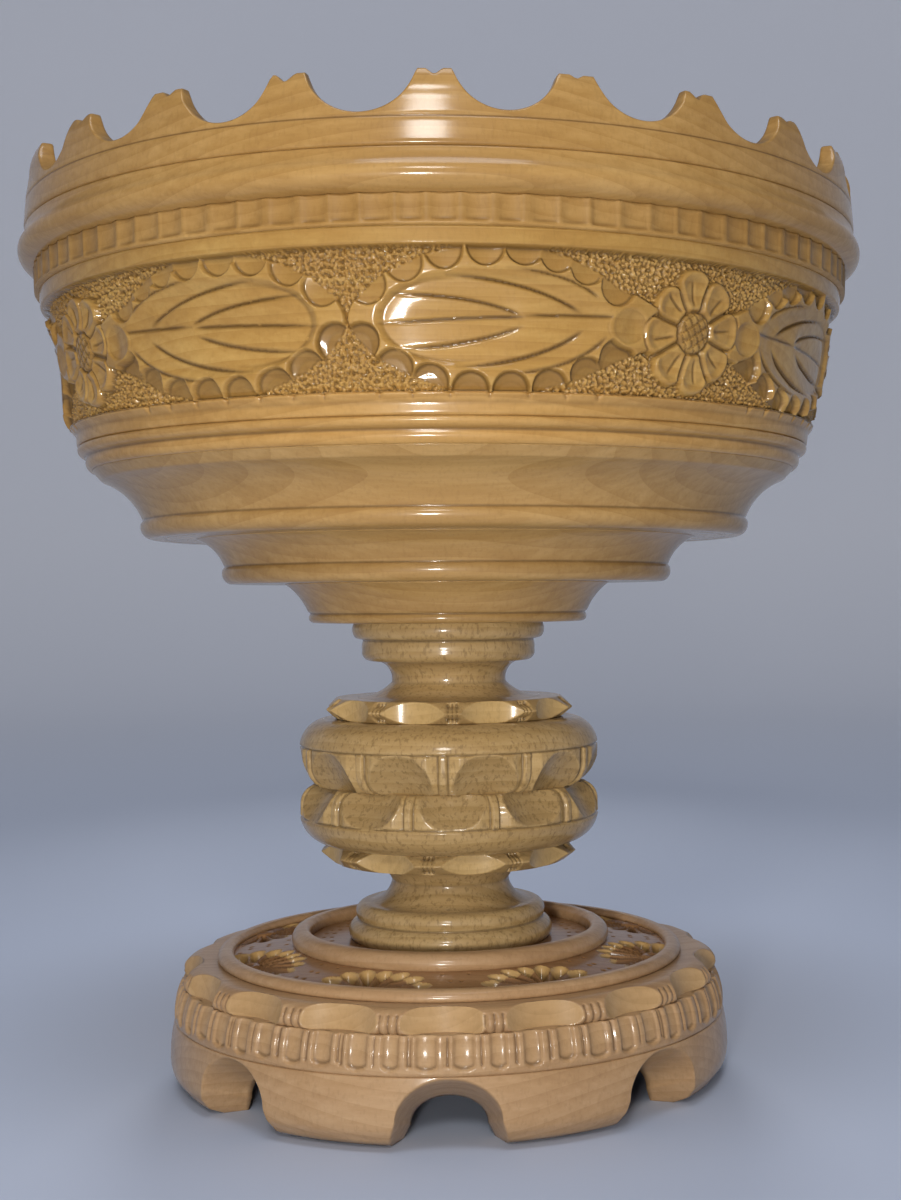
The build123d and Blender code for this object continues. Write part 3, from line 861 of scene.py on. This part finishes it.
def foot_columns():
    """Columns round the feet: outer angle and underside height, then the same for the inside."""
    outside = arch_outline(14.6, 17.2, 7.2, 14)
    inside = arch_outline(10.6, 10.2, 3.4, 14)
    centres = 360.0 / ARCHES * np.arange(ARCHES) - 0.6 + jitter(ARCHES, 81, 0.5)
    sizes = 1 + jitter(ARCHES, 82, 0.03)
    columns = []

    def column(arch, side, i, turns=0):
        """One column on an arch's edge: its side is -1 or 1, and i counts up from the floor."""
        centre = centres[arch] + 360.0 * turns
        out_turn = centre + side * math.degrees(outside[i, 0] * sizes[arch] / FEET_OUTSIDE)
        in_turn = centre + side * math.degrees(inside[i, 0] * sizes[arch] / FEET_INSIDE)
        return np.array([out_turn, outside[i, 1], in_turn, inside[i, 1]])

    last = len(outside) - 1
    for arch in range(ARCHES):
        columns += [column(arch, -1, i) for i in range(last + 1)]
        columns += [column(arch, 1, i) for i in range(last - 1, -1, -1)]
        following = column((arch + 1) % ARCHES, -1, 0, turns=(arch + 1) // ARCHES)
        columns += [columns[-1] + (following - columns[-1]) * t for t in np.linspace(0, 1, 22)[1:-1]]
    return np.array(columns)


def arched_feet(material):
    """Lower part of the skirt: eight round-headed arches, narrower inside, between eight flat feet."""
    profile = outline(
        (68.2, 0), (72.5, 1.8), (74.9, 4.8), ((75.4, 7.4), (75.4, 9.0)), ((75.2, 12.8), (74.3, SKIRT_LINE)),
        soft=0.2,
    )
    out_turn, low, in_turn, low_inside = np.split(foot_columns(), 4, axis=1)
    down = np.linspace(0, 1, 22)[None, :] ** 1.15
    z_out = SKIRT_LINE + (low - SKIRT_LINE) * down
    r_out = np.interp(z_out, profile[:, 1], profile[:, 0])
    edge = np.clip(1 - (z_out - low) / 0.7, 0, 1)
    r_out = r_out - 0.45 * edge**2 * (low > 0.01)
    across = np.linspace(0, 1, 10)[None, 1:]
    r_soffit = r_out[:, -1:] + (FEET_INSIDE - r_out[:, -1:]) * across
    z_soffit = low + (low_inside - low) * across
    up = np.linspace(0, 1, 7)[None, 1:]
    z_in = low_inside + (SKIRT_LINE - low_inside) * up
    r_in = np.full_like(z_in, FEET_INSIDE)
    turn_out = out_turn * np.ones_like(z_out)
    turn_soffit = out_turn + (in_turn - out_turn) * across
    turn_in = in_turn + (out_turn - in_turn) * up
    r = np.concatenate([r_out, r_soffit, r_in], 1)
    z = np.concatenate([z_out, z_soffit, z_in], 1)
    turn = np.concatenate([turn_out, turn_soffit, turn_in], 1)
    piece = grid_mesh("arched_feet_carved", place(r, z, turn))
    finish_piece(piece, ["foot_skirt"], material)


# ---- wood

class Nodes:
    """Short names for building a shader."""

    def __init__(self, name):
        self.material = bpy.data.materials.new(name)
        self.material.use_nodes = True
        self.tree = self.material.node_tree
        self.tree.nodes.clear()

    def add(self, kind, inputs=(), **settings):
        """New node with its inputs linked or set."""
        node = self.tree.nodes.new(kind)
        for key, value in settings.items():
            setattr(node, key, value)
        for key, value in dict(inputs).items():
            self.connect(node.inputs[key], value)
        return node

    def connect(self, socket, value):
        """Links a socket to another, or sets its value."""
        if isinstance(value, bpy.types.NodeSocket):
            self.tree.links.new(value, socket)
        else:
            socket.default_value = value

    def math(self, operation, a, b=0.0, clamp=False):
        return self.add("ShaderNodeMath", {0: a, 1: b}, operation=operation, use_clamp=clamp).outputs[0]

    def total(self, *terms):
        """Sum of (weight, value) terms."""
        summed = 0.0
        for weight, value in terms:
            summed = self.math("ADD", self.math("MULTIPLY", value, weight), summed)
        return summed

    def ramp(self, value, *stops):
        """Colour ramp of (place, colour) stops."""
        node = self.add("ShaderNodeValToRGB", {"Fac": value})
        elements = node.color_ramp.elements
        while len(elements) < len(stops):
            elements.new(0.5)
        for element, (where, colour) in zip(elements, stops):
            element.position = where
            element.color = (*colour, 1.0)
        return node.outputs["Color"]

    def stretch(self, where, scale):
        return self.add("ShaderNodeMapping", {"Vector": where, "Scale": scale}).outputs[0]

    def noise(self, where, scale, detail, roughness):
        inputs = {"Vector": where, "Scale": scale, "Detail": detail, "Roughness": roughness}
        return self.add("ShaderNodeTexNoise", inputs).outputs["Fac"]

    def attribute(self, name):
        return self.add("ShaderNodeAttribute", attribute_name=name).outputs["Fac"]

    def tint(self, share, colour, towards):
        """Colour moved towards a fixed colour by a share."""
        node = self.add("ShaderNodeMix", data_type="RGBA")
        values = {"Factor": share, "A": colour, "B": (*towards, 1.0)}
        for socket in node.inputs:
            if socket.enabled and socket.name in values:
                self.connect(socket, values[socket.name])
        return next(socket for socket in node.outputs if socket.enabled)


BLACK, WHITE = (0, 0, 0), (1, 1, 1)
# colour of the paler marks in scoops, flutes and on shell walls
PALE_MARK_COLOUR = (0.66, 0.45, 0.17)
# colour of the painted glints on punched ground
PAINTED_GLINT_COLOUR = (0.72, 0.46, 0.16)


def growth(n, where, spot):
    """Tone of growth rings, fibres, streaks and patches, and the fibres alone."""
    bend = n.noise(n.stretch(spot, (2.0, 9.0, 9.0)), 1.0, 3.0, 0.5)
    axes = n.add("ShaderNodeSeparateXYZ", {"Vector": spot})
    y, z = axes.outputs["Y"], axes.outputs["Z"]
    across = n.math("SQRT", n.math("ADD", n.math("MULTIPLY", y, y), n.math("MULTIPLY", z, z)))
    rings = n.total((330.0, across), (7.0, bend))
    late = n.math("POWER", n.math("FRACT", rings), 2.2)
    fibre = n.noise(n.stretch(spot, (22.0, 520.0, 520.0)), 1.0, 5.0, 0.65)
    streak = n.noise(n.stretch(spot, (5.0, 70.0, 70.0)), 1.0, 3.0, 0.5)
    patches = n.noise(where, 16.0, 2.0, 0.5)
    return n.total((0.13, late), (0.50, fibre), (0.45, streak), (0.30, patches)), fibre


def wood(name, light, mid, dark, turn=0.0, board=(0, 0, 0), fleck=0.3, upright=False, coat=0.8, blur=0.14):
    """Lacquered wood with growth rings and ray flecks; the grain runs along X. Shade is painted into cuts
    and hollows, some marks are made paler, and glints are painted on the punched ground.
    """
    n = Nodes(name)
    where = n.add("ShaderNodeTexCoord").outputs["Object"]
    angles = (0.0, math.radians(90 if upright else 0), math.radians(turn))
    spot = n.add("ShaderNodeMapping", {"Vector": where, "Location": board, "Rotation": angles}).outputs[0]
    tone, fibre = growth(n, where, spot)

    def darkened(share):
        return [c * share for c in dark]

    colour = n.ramp(n.math("SUBTRACT", tone, 0.25, True), (0.12, light), (0.45, mid), (0.92, dark))
    ray = n.noise(n.stretch(where, (1100.0, 1100.0, 500.0)), 1.0, 2.0, 0.6)
    flecks = n.math("MULTIPLY", n.ramp(ray, (0.52, BLACK), (0.66, WHITE)), fleck)
    colour = n.tint(flecks, colour, darkened(0.55))
    # painted shade: darker where the cut mark is above 0, in cuts, creases and hollows; paler where below 0
    cut = n.attribute("cut")
    colour = n.tint(n.math("MULTIPLY", cut, 0.75, True), colour, darkened(0.40))
    colour = n.tint(n.math("MULTIPLY", cut, -0.55, True), colour, PALE_MARK_COLOUR)
    # painted shade in concave places, read from pointiness
    pointiness = n.add("ShaderNodeNewGeometry").outputs["Pointiness"]
    hollow = n.ramp(pointiness, (0.46, WHITE), (0.50, BLACK))
    colour = n.tint(n.math("MULTIPLY", hollow, 0.6), colour, darkened(0.35))

    # painted glints: bright specks tinted onto the punched ground
    punch = n.attribute("punch")
    dots = n.add("ShaderNodeTexVoronoi", {"Vector": where, "Scale": 1500.0}).outputs["Distance"]
    painted_glint = n.math("MULTIPLY", n.ramp(dots, (0.10, WHITE), (0.42, BLACK)), punch)
    colour = n.tint(n.math("MULTIPLY", painted_glint, 0.45), colour, PAINTED_GLINT_COLOUR)
    relief = n.total((0.5, fibre), (0.6, ray), (-3.2, n.math("MULTIPLY", dots, punch)))
    bump = n.add("ShaderNodeBump", {"Height": relief, "Strength": 0.25, "Distance": 0.0004})
    shader = n.add("ShaderNodeBsdfPrincipled", {
        "Base Color": colour, "Roughness": n.math("ADD", n.math("MULTIPLY", fibre, 0.18), 0.34),
        "Normal": bump.outputs[0], "Coat Weight": coat, "Coat Roughness": blur, "Coat IOR": 1.35,
        "Specular IOR Level": 0.15,
    })
    n.add("ShaderNodeOutputMaterial", {"Surface": shader.outputs[0]})
    return n.material


# Light, middle and dark tones of each wood
HONEY = ((0.56, 0.340, 0.118), (0.41, 0.228, 0.066), (0.25, 0.118, 0.028))
# darker copy of the honey tones for the lower bowl: painted shade for its coves and undersides
HONEY_IN_SHADE = ((0.48, 0.305, 0.118), (0.35, 0.205, 0.068), (0.22, 0.107, 0.030))
GOLD = ((0.54, 0.340, 0.104), (0.40, 0.222, 0.056), (0.24, 0.118, 0.026))
# darker, redder copy of the pink tones for the foot plate: painted shade on its upward-facing top
PINK_IN_SHADE = ((0.40, 0.225, 0.105), (0.29, 0.150, 0.063), (0.17, 0.080, 0.030))
OLIVE = ((0.53, 0.370, 0.175), (0.385, 0.250, 0.100), (0.22, 0.128, 0.045))
PINK = ((0.54, 0.355, 0.195), (0.42, 0.255, 0.125), (0.26, 0.140, 0.060))


# ---- studio

FLOOR_RADIUS = 1.4  # metres, like the rest of the studio
COVE_RADIUS = 1.0
WALL_TOP = 1.35


def backdrop_paper():
    """Matt paper with painted shade: greyer under and round the object, paler towards the wall."""
    n = Nodes("backdrop_paper")
    where = n.add("ShaderNodeTexCoord").outputs["Object"]
    distance = n.add("ShaderNodeVectorMath", {0: where}, operation="LENGTH").outputs["Value"]
    far = n.math("DIVIDE", distance, FLOOR_RADIUS + COVE_RADIUS)
    # painted shade on the floor round the object
    paper = n.ramp(far, (0.10, (0.50, 0.56, 0.70)), (0.85, (0.93, 0.93, 0.97)))
    shader = n.add("ShaderNodeBsdfPrincipled", {"Base Color": paper, "Roughness": 0.9})
    n.add("ShaderNodeOutputMaterial", {"Surface": shader.outputs[0]})
    return n.material


def backdrop():
    """Round floor that curves up into a low wall."""
    turn = np.linspace(0, math.pi / 2, 16)[1:]
    cove = [(FLOOR_RADIUS + COVE_RADIUS * math.sin(t), COVE_RADIUS * (1 - math.cos(t))) for t in turn]
    profile = [(0.0, 0.0), (FLOOR_RADIUS, 0.0), *cove, (FLOOR_RADIUS + COVE_RADIUS, WALL_TOP)]
    columns = 96
    rows = len(profile)
    round_turns = [2 * math.pi * i / columns for i in range(columns)]
    verts = [(r * math.sin(a), -r * math.cos(a), z) for a in round_turns for r, z in profile]
    faces = []
    for i in range(columns):
        here, beside = i * rows, (i + 1) % columns * rows
        faces += [(here + j, beside + j, beside + j + 1, here + j + 1) for j in range(rows - 1)]
    sheet = new_object("backdrop", verts, faces)
    sheet.data.materials.append(backdrop_paper())


def area(name, where, target, size, power, colour, spread=180, glossy=True):
    """Round area light aimed at a point, which the camera doesn't see."""
    data = bpy.data.lights.new(name, "AREA")
    data.shape = "DISK"
    data.size = size
    data.energy = power
    data.color = colour
    data.spread = math.radians(spread)
    lamp = bpy.data.objects.new(name, data)
    lamp.location = where
    lamp.visible_glossy = glossy
    lamp.visible_camera = False
    lamp.rotation_euler = (Vector(target) - Vector(where)).to_track_quat("-Z", "Y").to_euler()
    bpy.context.scene.collection.objects.link(lamp)


def lights():
    """Small light by the lens, key above it, wash on the wall, soft light behind, and a dim room."""
    area("lens_light", (-0.050, -0.490, 0.090), (0, 0, 0.135), 0.05, 0.22, (1.0, 0.96, 0.91), spread=70)
    area("key", (-0.07, -0.92, 0.60), (0, 0, 0.14), 0.16, 2.6, (1.0, 0.97, 0.93))
    area("wall_fill", (0.0, -0.6, 2.4), (0, 2.4, 0.2), 1.2, 21.0, (0.90, 0.94, 1.0))
    area("back_light", (0.0, 0.90, 0.30), (0, 0, 0.22), 0.35, 0.9, (1.0, 0.97, 0.93), 62, glossy=False)
    world = bpy.data.worlds.new("room")
    world.use_nodes = True
    background = world.node_tree.nodes["Background"]
    background.inputs["Color"].default_value = (0.60, 0.66, 0.80, 1)
    background.inputs["Strength"].default_value = 0.14
    bpy.context.scene.world = world
    bpy.context.scene.view_settings.view_transform = "Standard"


def camera():
    """Close, level view with the optical axis right of the bowl, as in a cropped snapshot."""
    focal = 1692.0  # in picture units, of which the frame is 901 wide and 1200 high
    width, height = 901, 1200
    centre_x, centre_y = 555.0, 594.3
    data = bpy.data.cameras.new("camera")
    data.sensor_width = 36.0
    data.lens = focal * data.sensor_width / height
    data.shift_x = (width / 2 - centre_x) / height
    data.shift_y = (centre_y - height / 2) / height
    data.clip_start, data.clip_end = 0.01, 20.0
    view = bpy.data.objects.new("camera", data)
    view.location = (0.0, -0.4669, 0.1286)
    turn, tilt, roll = (math.radians(a) for a in (-3.615, 0.127, 0.493))
    aim = Matrix.Rotation(turn, 3, "Z") @ Matrix.Rotation(math.pi / 2 + tilt, 3, "X")
    view.rotation_euler = (aim @ Matrix.Rotation(-roll, 3, "Z")).to_euler()
    bpy.context.scene.collection.objects.link(view)
    bpy.context.scene.camera = view


# ---- everything

def main():
    rim_grain = {"board": (0.0, 0.06, -0.30), "fleck": 0.10}
    foot_grain = {"turn": 5, "board": (0.05, 0.05, 0.03)}
    gouged_grain = {"turn": -12, "board": (0.01, 0.04, -0.05)}
    bowl = wood("bowl_wood", *HONEY, **rim_grain)
    carved = wood("carved_wood", *GOLD, board=(0.02, 0.09, -0.11), fleck=0.08, coat=0.9, blur=0.09)
    fluted = wood("fluted_wood", *HONEY, **rim_grain, coat=0.3, blur=0.3)
    # the lower bowl takes the darker honey tones: painted shade
    lower = wood("lower_bowl_wood", *HONEY_IN_SHADE, board=(0.03, 0.05, -0.20), fleck=0.12, blur=0.12)
    stem = wood("stem_wood", *OLIVE, turn=8, board=(0.0, 0.03, -0.02), fleck=0.42, blur=0.13)
    gouged = wood("gouged_wood", *OLIVE, **gouged_grain, blur=0.15)
    foot = wood("foot_wood", *PINK, **foot_grain, fleck=0.12, coat=0.7, blur=0.15)
    # the foot plate takes the darker pink tones: painted shade
    plate = wood("foot_plate_wood", *PINK_IN_SHADE, **foot_grain, fleck=0.10, blur=0.15)
    toothed = wood("foot_ring_wood", *PINK, **gouged_grain, fleck=0.12, coat=0.6, blur=0.17)
    dowel = wood("dowel_wood", *HONEY, upright=True, fleck=0.1)

    crown_ring(bowl)
    rim_moulding(bowl)
    fluted_ring(fluted)
    for number in range(QUARTERS):
        frieze_quarter(number, carved)
    band_rings(bowl)
    step_rings(lower)
    spools(stem)
    toothed_disc("upper_toothed_disc", 34.5, UPPER_DISC_SCOOPS, 19.6, 43, gouged)
    knops(stem)
    toothed_disc("lower_toothed_disc", 35.3, LOWER_DISC_SCOOPS, 10.0, 44, gouged)
    foot_plate(plate)
    foot_mouldings(foot)
    toothed_foot_ring(toothed)
    skirt_band(foot)
    arched_feet(foot)
    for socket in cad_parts["stem_dowel"].material_slots:
        socket.material = dowel
    backdrop()
    lights()
    camera()


main()
